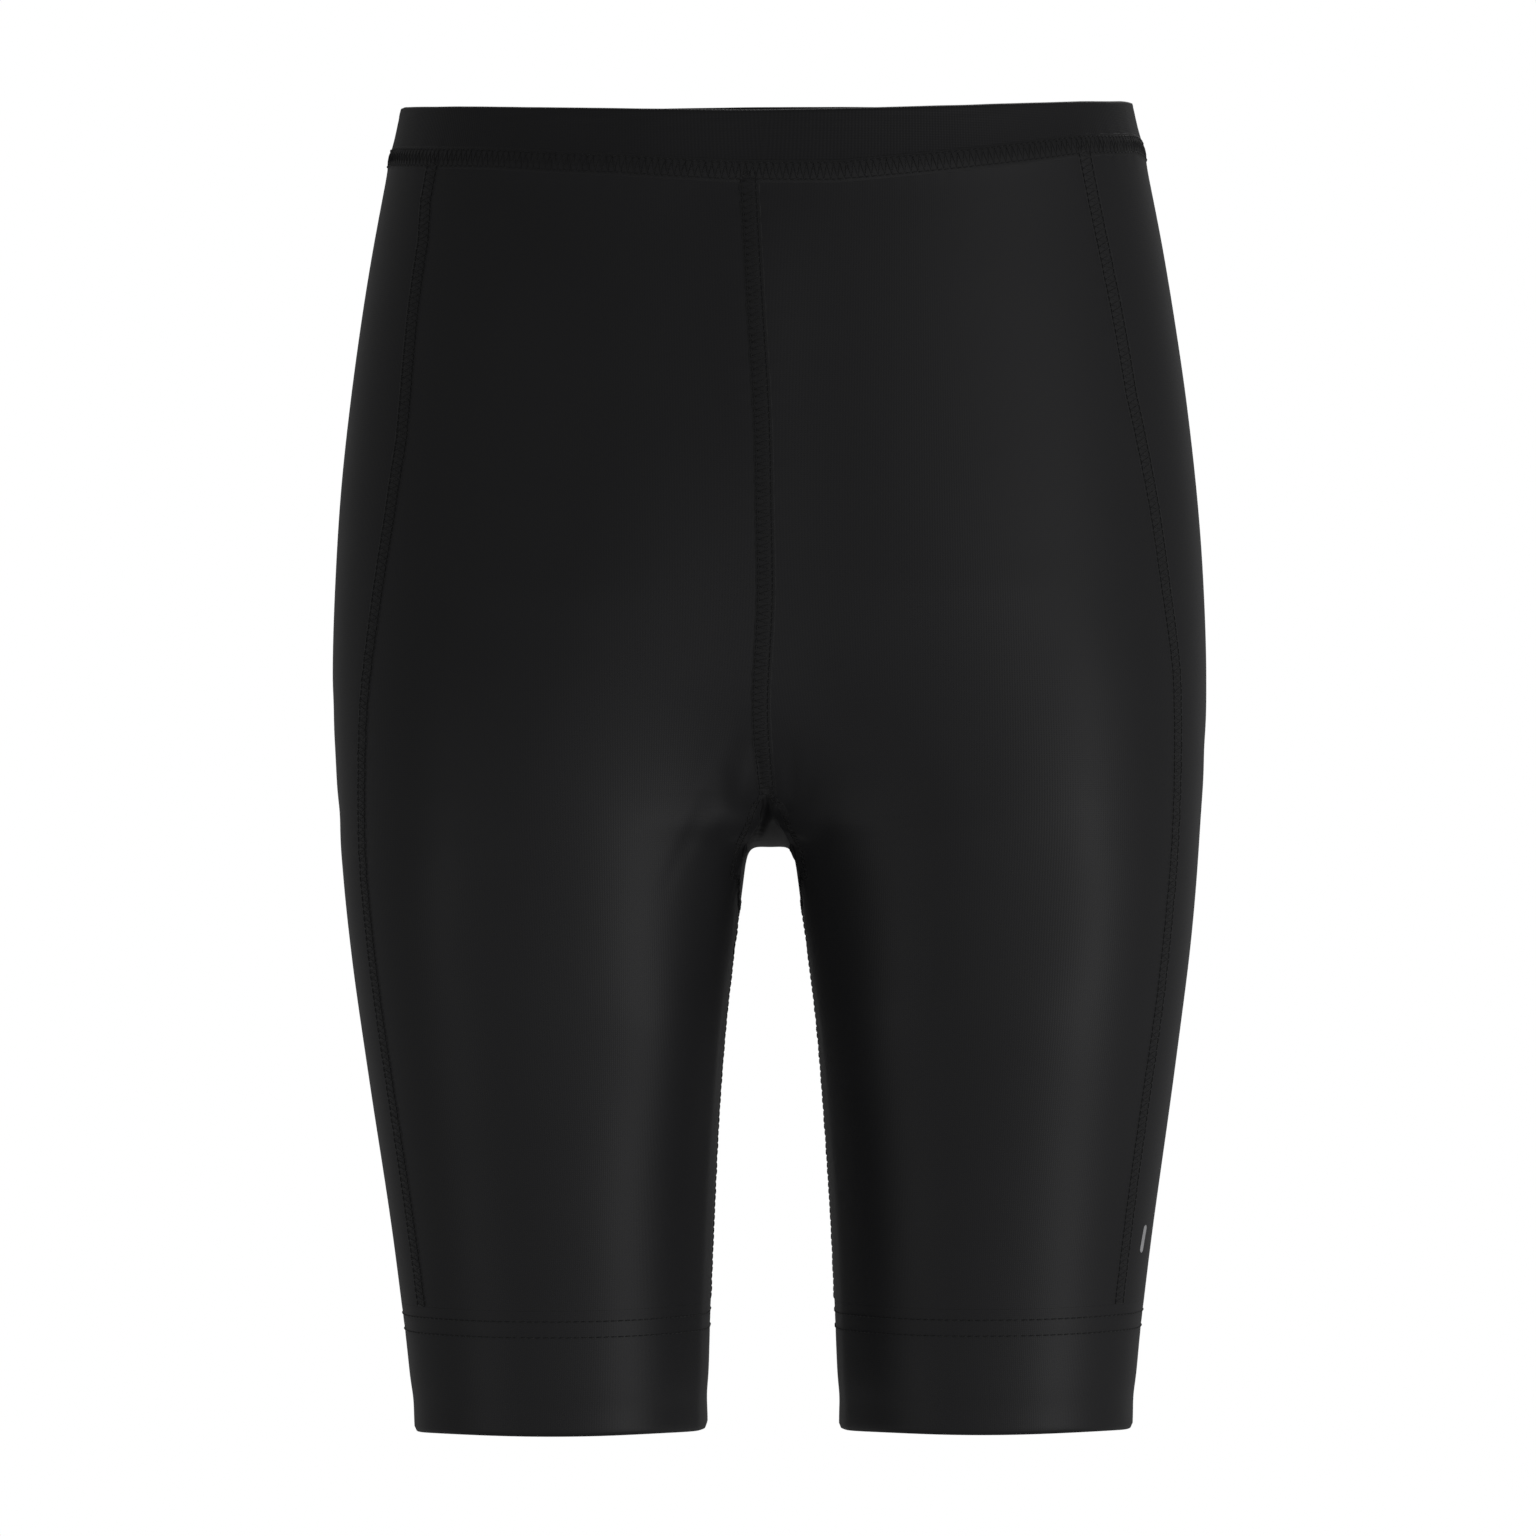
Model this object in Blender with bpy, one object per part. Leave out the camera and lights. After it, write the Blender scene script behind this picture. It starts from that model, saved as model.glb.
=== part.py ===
# Close-fitting cycling shorts, filled out as if worn. Lengths are in millimetres until a mesh is made.
# +X is the wearer's left, -Y the front and +Z up. The origin is the middle of the waistband's ring.
# The cloth is one surface through the sections below, cut along its seams into the pieces a maker sews,
# and each piece is then given its wall.
import math
from collections import namedtuple

import bmesh
import bpy
import numpy as np

METRE = 0.001
JERSEY_WALL = 1.4
WAISTBAND_WALL = 2.6
HEM_WALL = 2.0
SEAM_GAP = 0.3
BLACK = (0.012, 0.012, 0.013, 1.0)
BAND_BLACK = (0.008, 0.008, 0.009, 1.0)
CLOTH_ROUGHNESS = 0.62

# Cells round half a section, from the centre front to the centre back, and across the inner thigh.
FRONT_CELLS = 5
SIDE_CELLS = 4
BACK_CELLS = 5
INNER_CELLS = 6
LAST_COLUMN = FRONT_CELLS + SIDE_CELLS + BACK_CELLS
INSEAM_COLUMN = INNER_CELLS // 2
LINE_STEPS = 24

# How strongly a section's curve holds its direction where it leaves a seam, as a share of its reach:
# out to the fullest point, and across the inner thigh.
LEAD_PULL = 0.42
THIGH_PULL = 0.4

# The filled shape by height: half the width over all, the fullest front and back, how far out from the
# middle these lie, where the side line runs, and how square a section is (2 is an ellipse).
Shape = namedtuple("Shape", "z width front_y back_y crown_x side_y square")
SHAPE = [
    Shape(25, 143.5, -98.5, 97.0, 0, 3, 2.20),
    Shape(-45, 157.6, -104.8, 110.6, 0, 3, 2.20),
    Shape(-115, 168.1, -109.7, 123.7, 6, 3, 2.20),
    Shape(-185, 173.9, -111.3, 130.5, 36, 2, 2.20),
    Shape(-225, 174.5, -110.2, 128.0, 61, 1, 2.20),
    Shape(-268, 172.4, -107.4, 119.4, 81, 0, 2.20),
    Shape(-308, 169.4, -102.9, 108.6, 89, -1, 2.22),
    Shape(-380, 160.4, -90.5, 88.5, 90, -2, 2.15),
    Shape(-467, 148.3, -75.5, 70.0, 86.5, -2, 2.10),
    Shape(-520, 143.0, -70.3, 63.3, 85, -2, 2.10),
]

# Rows of the trunk, from the rim of the waistband down to the points of the gusset: their height at the
# side, the centre front and the centre back, the depth of the centre seams, the degrees by which the
# row leaves them forwards (0 is sideways), and the side panel's reach before and behind the side line.
Trunk = namedtuple("Trunk", "side_z front_z back_z centre_front centre_back turn strip_front strip_back")
TRUNK = [
    Trunk(11, -1, 20, -99.9, 97.9, 0, 64, 56),
    Trunk(0.5, -12.5, 9.5, -101.1, 100.0, 0, 63.5, 56),
    Trunk(-10, -24, -1, -102.2, 102.0, 0, 63, 56),
    Trunk(-45, -58, -38, -105.8, 109.2, 0, 60, 55),
    Trunk(-80, -92, -76, -108.3, 116.7, 0, 58, 54),
    Trunk(-115, -126, -113, -109.9, 123.3, 0, 57, 53),
    Trunk(-150, -160, -150, -110.2, 127.9, 0, 57, 52),
    Trunk(-185, -196, -186, -107.2, 126.5, 2, 57, 52),
    Trunk(-220, -232, -221, -97.5, 111.5, 9, 57, 52),
    Trunk(-250, -265, -254, -77, 80, 17, 57, 51),
]

# Rows of a leg, from just under the points of the gusset down to the hem. inner_x, inner_z: the inseam.
# lift: rise of the row in front. seam_*: where the row starts, on the gusset's seam and then on the line
# that runs on down from it. turn: degrees by which it leaves that line forwards, 0 being sideways.
Leg = namedtuple(
    "Leg",
    "side_z inner_z lift inner_x seam_front_x seam_front_y seam_front_z seam_back_x seam_back_y seam_back_z"
    " turn strip_front strip_back",
)
LEG = [
    Leg(-268, None, 0, None, 5, -71, -274, 5.5, 74, -265, 32, 57, 51),
    Leg(-286, None, 0, None, 9.6, -62, -283, 10.5, 65, -277, 55, 57, 50),
    Leg(-308, -311, 0, 12.6, 14, -49, -294, 14.5, 53, -290, 80, 57, 50),
    Leg(-340, -342, 0, 16.5, 20.2, -48, -339, 20.2, 48.5, -338, 78, 56, 49),
    Leg(-380, -381, 0, 20.1, 24.8, -44, -380, 24.8, 43, -380, 74, 53, 47),
    Leg(-420, -421, 0.5, 22.7, 28.3, -39.5, -420, 28.3, 37.5, -420, 69, 49, 45),
    Leg(-467, -467, 1.5, 24.7, 30.5, -36, -467, 30.5, 34, -467, 67, 45, 42),
    Leg(-492, -492, 2.5, 25.6, 31.2, -35, -492, 31.2, 32, -492, 66, 44, 41),
    Leg(-518, -517.5, 3.5, 26.6, 32, -34, -518, 32, 30.5, -518, 66, 43, 40),
]

# The gusset along its centre line, from its front point to its back point: y and z of the line, then how
# far out and down the strip under the crotch turns, and how far out and down it lies on the inner thigh.
Gusset = namedtuple("Gusset", "y z turn_x turn_drop thigh_x thigh_drop")
GUSSET = [
    Gusset(-52, -278, 7.0, 1.2, 10.2, 8.5),
    Gusset(-26, -284.5, 7.6, 0.5, 10.4, 9.0),
    Gusset(0, -286.5, 7.8, 0.4, 10.6, 9.5),
    Gusset(28, -284, 7.8, 0.5, 10.6, 9.5),
    Gusset(56, -272.5, 7.2, 1.2, 10.8, 8.5),
]

# Rows of the surface, counted from the rim of the waistband.
WAIST_SEAM_ROW = 2
POINT_ROW = len(TRUNK) - 1
GUSSET_ROW = len(TRUNK) + 2
HEM_SEAM_ROW = len(TRUNK) + 6
LAST_ROW = len(TRUNK) + len(LEG) - 1


def clear_scene():
    for old in list(bpy.data.objects):
        bpy.data.objects.remove(old, do_unlink=True)


def curve_through(knots, values):
    """The smooth curve through a column of a table, as a function of the other column."""
    knots, values = np.array(knots, float), np.array(values, float)
    step = np.diff(knots)
    slope = np.diff(values) / step
    count = len(knots)
    system = np.eye(count)
    bend = np.zeros(count)
    for k in range(1, count - 1):
        system[k, k - 1 : k + 2] = step[k - 1], 2 * (step[k - 1] + step[k]), step[k]
        bend[k] = 6 * (slope[k] - slope[k - 1])
    bend = np.linalg.solve(system, bend)

    def value(at):
        k = int(np.clip(np.searchsorted(knots, at) - 1, 0, count - 2))
        before = (knots[k + 1] - at) / step[k]
        after = (at - knots[k]) / step[k]
        pull = (before**3 - before) * bend[k] + (after**3 - after) * bend[k + 1]
        return before * values[k] + after * values[k + 1] + pull * step[k] ** 2 / 6

    return value


def shape_curves():
    """Each column of the shape's table as a smooth function of the height."""
    upwards = SHAPE[::-1]
    heights = [row.z for row in upwards]
    columns = Shape._fields[1:]
    return {name: curve_through(heights, [getattr(row, name) for row in upwards]) for name in columns}


SHAPE_AT = shape_curves()


def bezier(start, start_pull, end_pull, end):
    """Points of a cubic curve in plan."""
    t = np.linspace(0, 1, LINE_STEPS)[:, None]
    a, b, c, d = (np.array(p, float) for p in (start, start_pull, end_pull, end))
    return (1 - t) ** 3 * a + 3 * (1 - t) ** 2 * t * b + 3 * (1 - t) * t * t * c + t**3 * d


def quadrant(crown, side, square):
    """A quarter of a superellipse in plan, from its fullest point to its side."""
    angle = np.linspace(0, math.pi / 2, LINE_STEPS)
    x = crown[0] + (side[0] - crown[0]) * np.sin(angle) ** (2 / square)
    y = side[1] + (crown[1] - side[1]) * np.cos(angle) ** (2 / square)
    return np.stack([x, y], axis=1)


def lead(start, turn, crown):
    """From the centre seam or the gusset's seam out to the section's fullest point."""
    reach = LEAD_PULL * math.dist(start, crown)
    forward = math.copysign(1, crown[1])
    heading = (math.cos(math.radians(turn)), forward * math.sin(math.radians(turn)))
    start_pull = (start[0] + reach * heading[0], start[1] + reach * heading[1])
    return bezier(start, start_pull, (crown[0] - reach, crown[1]), crown)


def section(height, starts, turn):
    """The outline in plan at a height, from its front start round the side to its back start."""
    at = {name: float(curve(height)) for name, curve in SHAPE_AT.items()}
    side = (at["width"], at["side_y"])
    crown_x = max(at["crown_x"], 0.5)
    halves = []
    for start, full_y in zip(starts, (at["front_y"], at["back_y"])):
        crown = (crown_x, full_y)
        halves.append(np.concatenate([lead(start, turn, crown), quadrant(crown, side, at["square"])]))
    return np.concatenate([halves[0], halves[1][::-1]])


def running_length(line):
    step = np.linalg.norm(np.diff(line, axis=0), axis=1)
    return np.concatenate([[0], np.cumsum(step)])


def point_along(line, place):
    """The point at a place counted in steps along a line, such as 3.5."""
    steps = np.arange(len(line))
    return tuple(float(np.interp(place, steps, line[:, k])) for k in range(2))


def forwardness(y, height):
    """0 at the side line and behind it, rising smoothly to 1 at the fullest front."""
    side_y, front_y = float(SHAPE_AT["side_y"](height)), float(SHAPE_AT["front_y"](height))
    share = min(max((side_y - y) / (side_y - front_y), 0), 1)
    return share * share * (3 - 2 * share)


def outer_row(row, starts, turn, ends_z, lift):
    """A row's points from its front start round the side to its back start, one for each column.

    The columns are spaced along the outline at the row's side height, and each then lies on the outline
    of its own height."""
    line = section(row.side_z, starts, turn)
    run = running_length(line)
    side_run, whole_run = run[2 * LINE_STEPS - 1], run[-1]
    stops = [0, side_run - row.strip_front, side_run + row.strip_back, whole_run]
    cells = (FRONT_CELLS, SIDE_CELLS, BACK_CELLS)
    runs = [0.0]
    for first, last, count in zip(stops, stops[1:], cells):
        runs += [first + (last - first) * (k + 1) / count for k in range(count)]
    points = []
    for length in runs:
        in_front = length <= side_run
        from_centre = length / side_run if in_front else (whole_run - length) / (whole_run - side_run)
        end_z = ends_z[0] if in_front else ends_z[1]
        place = np.interp(length, run, np.arange(len(run)))
        z = row.side_z + (end_z - row.side_z) * math.cos(from_centre * math.pi / 2)
        z += lift * forwardness(point_along(line, place)[1], row.side_z)
        points.append((*point_along(section(z, starts, turn), place), z))
    return points


def trunk_rows():
    rows = []
    for row in TRUNK:
        starts = (0, row.centre_front), (0, row.centre_back)
        rows.append(outer_row(row, starts, row.turn, (row.front_z, row.back_z), 0))
    return rows


def leg_rows():
    rows = []
    for row in LEG:
        starts = (row.seam_front_x, row.seam_front_y), (row.seam_back_x, row.seam_back_y)
        rows.append(outer_row(row, starts, row.turn, (row.seam_front_z, row.seam_back_z), row.lift))
    return rows


def thigh_row(row):
    """The points of a leg's section across the inner thigh, between its two starts."""
    inseam = (row.inner_x, float(SHAPE_AT["side_y"](row.side_z)))
    lines = []
    for x, y in ((row.seam_front_x, row.seam_front_y), (row.seam_back_x, row.seam_back_y)):
        reach = THIGH_PULL * abs(y - inseam[1])
        forward = math.copysign(1, y)
        slope = math.radians(row.turn)
        pull = (x - reach * math.cos(slope), y - forward * reach * math.sin(slope))
        lines.append(bezier((x, y), pull, (row.inner_x, inseam[1] + forward * reach), inseam))
    line = np.concatenate([lines[0], lines[1][::-1]])
    run = running_length(line)
    wanted = np.linspace(0, run[-1], INNER_CELLS + 1)
    plan = np.stack([np.interp(wanted, run, line[:, k]) for k in range(2)], axis=1)
    points = []
    for column in range(INNER_CELLS + 1):
        across = (column - INSEAM_COLUMN) / INSEAM_COLUMN
        seam_z = row.seam_front_z if across < 0 else row.seam_back_z
        z = row.inner_z + (seam_z - row.inner_z) * across**2
        z += row.lift * forwardness(plan[column][1], row.side_z)
        points.append((*plan[column], z))
    return points[1:-1]


def crotch_rows():
    """Inner points, by row: the gusset's centre line, its turn, its reach on the thigh, then each leg row."""
    centre = [(0, p.y, p.z) for p in GUSSET]
    turn = [(p.turn_x, p.y, p.z - p.turn_drop) for p in GUSSET]
    thigh = [(p.thigh_x, p.y, p.z - p.thigh_drop) for p in GUSSET]
    return [centre, turn, thigh] + [thigh_row(row) for row in LEG[2:]]


class Cage:
    """Points, and four-sided cells that know which piece of cloth they belong to."""

    def __init__(self):
        self.points = []
        self.number = {}
        self.cells = []
        self.pieces = []

    def point(self, key, place):
        if key not in self.number:
            self.number[key] = len(self.points)
            self.points.append(place)
        return self.number[key]

    def cell(self, piece, corners):
        self.cells.append(corners)
        self.pieces.append(piece)


def piece_outside(row, column, side):
    if row < WAIST_SEAM_ROW:
        return "waistband"
    if row >= HEM_SEAM_ROW:
        return "hem_" + side
    if column < FRONT_CELLS:
        return "front_" + side
    if column < FRONT_CELLS + SIDE_CELLS:
        return "side_" + side
    return "back_" + side


def piece_inside(row, column, side):
    if row < GUSSET_ROW:
        return "gusset"
    if row >= HEM_SEAM_ROW:
        return "hem_" + side
    return ("front_" if column < INSEAM_COLUMN else "back_") + side


def add_half(cage, side, mirror):
    """One half of the shorts; points on the middle plane are shared with the other half."""
    outer = trunk_rows() + leg_rows()
    inner = crotch_rows()

    def at(row, column):
        place = outer[row][column]
        middle = row <= POINT_ROW and column in (0, LAST_COLUMN)
        key = ("middle" if middle else side, row, column)
        return cage.point(key, (mirror * place[0], place[1], place[2]))

    def within(row, column):
        if column == 0:
            return at(row, 0)
        if column == INNER_CELLS:
            return at(row, LAST_COLUMN)
        place = inner[row - POINT_ROW][column - 1]
        key = ("crotch" if row == POINT_ROW else side, row, LAST_COLUMN + column)
        return cage.point(key, (mirror * place[0], place[1], place[2]))

    for row in range(LAST_ROW):
        for column in range(LAST_COLUMN):
            corners = (at(row, column), at(row + 1, column), at(row + 1, column + 1), at(row, column + 1))
            cage.cell(piece_outside(row, column, side), corners[:: int(mirror)])
    for row in range(POINT_ROW, LAST_ROW):
        for column in range(INNER_CELLS):
            corners = (
                within(row, column),
                within(row, column + 1),
                within(row + 1, column + 1),
                within(row + 1, column),
            )
            cage.cell(piece_inside(row, column, side), corners[:: int(mirror)])


def fitted(points, cells):
    """Cage points whose subdivided surface passes through the given ones."""
    count = len(points)
    beside = [set() for _ in range(count)]
    opposite = [[] for _ in range(count)]
    uses = {}
    for cell in cells:
        for k in range(4):
            here, after, across = cell[k], cell[(k + 1) % 4], cell[(k + 2) % 4]
            beside[here].add(after)
            beside[after].add(here)
            opposite[here].append(across)
            edge = (min(here, after), max(here, after))
            uses[edge] = uses.get(edge, 0) + 1
    rim = [[] for _ in range(count)]
    for (a, b), times in uses.items():
        if times == 1:
            rim[a].append(b)
            rim[b].append(a)
    weights = np.zeros((count, count))
    for k in range(count):
        if rim[k]:
            weights[k, k] = 4 / 6
            weights[k, rim[k]] = 1 / 6
            continue
        valence = len(beside[k])
        whole = valence * (valence + 5)
        weights[k, k] = valence**2 / whole
        weights[k, list(beside[k])] = 4 / whole
        for across in opposite[k]:
            weights[k, across] += 1 / whole
    return np.linalg.solve(weights, np.array(points))


def smooth_surface(cage, names):
    """The subdivided surface: its points, its cells and each cell's piece."""
    points = fitted(cage.points, cage.cells)
    mesh = bpy.data.meshes.new("cloth_surface")
    mesh.from_pydata([tuple(p) for p in points], [], cage.cells)
    for name in names:
        mesh.materials.append(bpy.data.materials.new(name + "_mark"))
    for face, piece in zip(mesh.polygons, cage.pieces):
        face.material_index = names.index(piece)
    guide = bpy.data.objects.new("cloth_surface", mesh)
    bpy.context.scene.collection.objects.link(guide)
    subdivision = guide.modifiers.new("Subdivision", "SUBSURF")
    subdivision.levels = 1
    subdivision.render_levels = 1
    subdivision.use_limit_surface = True
    bpy.context.view_layer.update()
    worked = guide.evaluated_get(bpy.context.evaluated_depsgraph_get())
    result = worked.to_mesh()
    places = np.array([tuple(v.co) for v in result.vertices])
    faces = [tuple(p.vertices) for p in result.polygons]
    marks = [p.material_index for p in result.polygons]
    worked.to_mesh_clear()
    bpy.data.objects.remove(guide, do_unlink=True)
    return places, faces, marks


def surface_normals(places, faces):
    """Outward normals at the points, shared by every piece that meets there."""
    normals = np.zeros_like(places)
    for face in faces:
        a, b, c, d = (places[k] for k in face)
        normals[list(face)] += np.cross(c - a, d - b)
    return normals / np.linalg.norm(normals, axis=1)[:, None]


def cut_back(places, normals, faces):
    """A piece's points with its edge drawn in by half the gap, and its edge as directed pairs."""
    directed = {(face[k], face[(k + 1) % 4]) for face in faces for k in range(4)}
    edge = [(a, b) for a, b in directed if (b, a) not in directed]
    inward = {}
    for a, b in edge:
        for k in (a, b):
            across = np.cross(normals[k], places[b] - places[a])
            inward.setdefault(k, []).append(across / np.linalg.norm(across))
    moved = places.copy()
    for k, ways in inward.items():
        way = sum(ways)
        way /= np.linalg.norm(way)
        moved[k] += way * (SEAM_GAP / 2) / max(0.5, float(way @ ways[0]))
    return moved, edge


def triangles(places, faces):
    """Each cell split along its shorter diagonal, so that both sides of a wall are split alike."""
    split = []
    for a, b, c, d in faces:
        if math.dist(places[a], places[c]) <= math.dist(places[b], places[d]):
            split += [(a, b, c), (a, c, d)]
        else:
            split += [(a, b, d), (b, c, d)]
    return split


def cloth_piece(name, wall, colour, places, normals, faces):
    moved, edge = cut_back(places, normals, faces)
    faces = triangles(places, faces)
    used = sorted({k for face in faces for k in face})
    outside = {k: n for n, k in enumerate(used)}
    inside = {k: n + len(used) for n, k in enumerate(used)}
    points = [moved[k] * METRE for k in used]
    points += [(moved[k] - normals[k] * wall) * METRE for k in used]
    cells = [tuple(outside[k] for k in face) for face in faces]
    cells += [tuple(inside[k] for k in reversed(face)) for face in faces]
    cells += [(outside[b], outside[a], inside[a], inside[b]) for a, b in edge]
    mesh = bpy.data.meshes.new(name)
    mesh.from_pydata([tuple(p) for p in points], [], cells)
    shape = bmesh.new()
    shape.from_mesh(mesh)
    bmesh.ops.recalc_face_normals(shape, faces=shape.faces)
    shape.to_mesh(mesh)
    shape.free()
    mesh.shade_smooth()
    mesh.set_sharp_from_angle(angle=math.radians(40))
    mesh.materials.append(cloth_material(name, colour))
    piece = bpy.data.objects.new(name, mesh)
    bpy.context.scene.collection.objects.link(piece)
    return piece


def cloth_material(name, colour):
    material = bpy.data.materials.new(name + "_cloth")
    material.use_nodes = True
    surface = material.node_tree.nodes["Principled BSDF"]
    surface.inputs["Base Color"].default_value = colour
    surface.inputs["Roughness"].default_value = CLOTH_ROUGHNESS
    surface.inputs["Metallic"].default_value = 0.0
    return material


def shorts():
    cage = Cage()
    add_half(cage, "left", 1)
    add_half(cage, "right", -1)
    names = sorted(set(cage.pieces))
    places, faces, marks = smooth_surface(cage, names)
    normals = surface_normals(places, faces)
    for number, name in enumerate(names):
        own = [face for face, mark in zip(faces, marks) if mark == number]
        wall, colour = JERSEY_WALL, BLACK
        if name == "waistband":
            wall, colour = WAISTBAND_WALL, BAND_BLACK
        if name.startswith("hem"):
            wall = HEM_WALL
        cloth_piece(name, wall, colour, places, normals, own)


clear_scene()
shorts()
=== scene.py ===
import math

import bpy
import numpy as np
from mathutils import Matrix, Vector, noise
from mathutils.bvhtree import BVHTree
from mathutils.kdtree import KDTree


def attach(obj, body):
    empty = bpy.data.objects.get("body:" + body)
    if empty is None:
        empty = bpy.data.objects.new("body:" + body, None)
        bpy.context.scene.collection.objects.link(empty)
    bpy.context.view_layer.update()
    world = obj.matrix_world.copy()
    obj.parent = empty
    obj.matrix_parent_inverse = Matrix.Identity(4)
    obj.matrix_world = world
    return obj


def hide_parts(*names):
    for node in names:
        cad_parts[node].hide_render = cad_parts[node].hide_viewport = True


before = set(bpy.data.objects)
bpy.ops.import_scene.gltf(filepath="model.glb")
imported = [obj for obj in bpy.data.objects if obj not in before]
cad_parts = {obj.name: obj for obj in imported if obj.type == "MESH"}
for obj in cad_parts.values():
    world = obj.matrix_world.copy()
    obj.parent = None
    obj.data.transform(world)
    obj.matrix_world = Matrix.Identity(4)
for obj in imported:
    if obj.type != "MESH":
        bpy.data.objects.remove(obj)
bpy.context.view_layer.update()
metre = 0.001
print("frame loaded:", len(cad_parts), "nodes")


# camera, on the photograph's frame of 1536 x 1536

cameraLook = {
    "distance": 2.56,    # from the middle of the shorts
    "height": -0.2546,
    "aside": -0.0008,
    "azimuth": 0.8,      # degrees towards the wearer's left
    "roll": -0.3,
    "lens": 150,
    "sensor": 36,
}


def placeCamera():
    turn = math.radians(cameraLook["azimuth"])
    camera = bpy.data.objects.new("camera", bpy.data.cameras.new("camera"))
    camera.data.lens = cameraLook["lens"]
    camera.data.sensor_width = cameraLook["sensor"]
    camera.data.clip_end = 60
    back = Vector((math.sin(turn), -math.cos(turn), 0)) * cameraLook["distance"]
    place = Matrix.Translation(back + Vector((cameraLook["aside"], 0, cameraLook["height"])))
    level = Matrix.Rotation(turn, 4, "Z") @ Matrix.Rotation(math.radians(90), 4, "X")
    camera.matrix_world = place @ level @ Matrix.Rotation(math.radians(cameraLook["roll"]), 4, "Z")
    bpy.context.scene.collection.objects.link(camera)
    bpy.context.scene.camera = camera


placeCamera()


# the pattern's tables, the same as in the part's source

cells = {"front": 5, "side": 4, "back": 5, "inner": 6}
lastColumn = cells["front"] + cells["side"] + cells["back"]
inseamColumn = cells["inner"] // 2
lineSteps = 24
leadPull = 0.42
thighPull = 0.4

# The filled shape by height: half width, fullest front and back, how far out these lie, side line, squareness.
shapeColumns = "z width frontY backY crownX sideY square".split()
shapeRows = [
    (25, 143.5, -98.5, 97.0, 0, 3, 2.20),
    (-45, 157.6, -104.8, 110.6, 0, 3, 2.20),
    (-115, 168.1, -109.7, 123.7, 6, 3, 2.20),
    (-185, 173.9, -111.3, 130.5, 36, 2, 2.20),
    (-225, 174.5, -110.2, 128.0, 61, 1, 2.20),
    (-268, 172.4, -107.4, 119.4, 81, 0, 2.20),
    (-308, 169.4, -102.9, 108.6, 89, -1, 2.22),
    (-380, 160.4, -90.5, 88.5, 90, -2, 2.15),
    (-467, 148.3, -75.5, 70.0, 86.5, -2, 2.10),
    (-520, 143.0, -70.3, 63.3, 85, -2, 2.10),
]

# Rows of the trunk, rim of the waistband to the points of the gusset.
trunkColumns = "sideZ frontZ backZ centreFront centreBack turn stripFront stripBack".split()
trunkRows = [
    (11, -1, 20, -99.9, 97.9, 0, 64, 56),
    (0.5, -12.5, 9.5, -101.1, 100.0, 0, 63.5, 56),
    (-10, -24, -1, -102.2, 102.0, 0, 63, 56),
    (-45, -58, -38, -105.8, 109.2, 0, 60, 55),
    (-80, -92, -76, -108.3, 116.7, 0, 58, 54),
    (-115, -126, -113, -109.9, 123.3, 0, 57, 53),
    (-150, -160, -150, -110.2, 127.9, 0, 57, 52),
    (-185, -196, -186, -107.2, 126.5, 2, 57, 52),
    (-220, -232, -221, -97.5, 111.5, 9, 57, 52),
    (-250, -265, -254, -77, 80, 17, 57, 51),
]

# Rows of a leg, from under the points of the gusset to the hem.
legColumns = ("sideZ innerZ lift innerX seamFrontX seamFrontY seamFrontZ seamBackX seamBackY seamBackZ"
              " turn stripFront stripBack").split()
legRows = [
    (-268, None, 0, None, 5, -71, -274, 5.5, 74, -265, 32, 57, 51),
    (-286, None, 0, None, 9.6, -62, -283, 10.5, 65, -277, 55, 57, 50),
    (-308, -311, 0, 12.6, 14, -49, -294, 14.5, 53, -290, 80, 57, 50),
    (-340, -342, 0, 16.5, 20.2, -48, -339, 20.2, 48.5, -338, 78, 56, 49),
    (-380, -381, 0, 20.1, 24.8, -44, -380, 24.8, 43, -380, 74, 53, 47),
    (-420, -421, 0.5, 22.7, 28.3, -39.5, -420, 28.3, 37.5, -420, 69, 49, 45),
    (-467, -467, 1.5, 24.7, 30.5, -36, -467, 30.5, 34, -467, 67, 45, 42),
    (-492, -492, 2.5, 25.6, 31.2, -35, -492, 31.2, 32, -492, 66, 44, 41),
    (-518, -517.5, 3.5, 26.6, 32, -34, -518, 32, 30.5, -518, 66, 43, 40),
]

# The gusset along its centre line, front point to back point.
gussetColumns = "y z turnX turnDrop thighX thighDrop".split()
gussetRows = [
    (-52, -278, 7.0, 1.2, 10.2, 8.5),
    (-26, -284.5, 7.6, 0.5, 10.4, 9.0),
    (0, -286.5, 7.8, 0.4, 10.6, 9.5),
    (28, -284, 7.8, 0.5, 10.6, 9.5),
    (56, -272.5, 7.2, 1.2, 10.8, 8.5),
]

waistSeamRow = 2
pointRow = len(trunkRows) - 1
gussetRow = len(trunkRows) + 2
hemSeamRow = len(trunkRows) + 6
lastRow = len(trunkRows) + len(legRows) - 1


def named(columns, rows):
    return [dict(zip(columns, row)) for row in rows]


# the surface that the pieces are cut from

def curveThrough(knots, values):
    knots, values = np.array(knots, float), np.array(values, float)
    step = np.diff(knots)
    slope = np.diff(values) / step
    count = len(knots)
    system, bend = np.eye(count), np.zeros(count)
    for k in range(1, count - 1):
        system[k, k - 1:k + 2] = step[k - 1], 2 * (step[k - 1] + step[k]), step[k]
        bend[k] = 6 * (slope[k] - slope[k - 1])
    bend = np.linalg.solve(system, bend)

    def value(at):
        k = int(np.clip(np.searchsorted(knots, at) - 1, 0, count - 2))
        before, after = (knots[k + 1] - at) / step[k], (at - knots[k]) / step[k]
        pull = (before**3 - before) * bend[k] + (after**3 - after) * bend[k + 1]
        return before * values[k] + after * values[k + 1] + pull * step[k] ** 2 / 6

    return value


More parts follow.
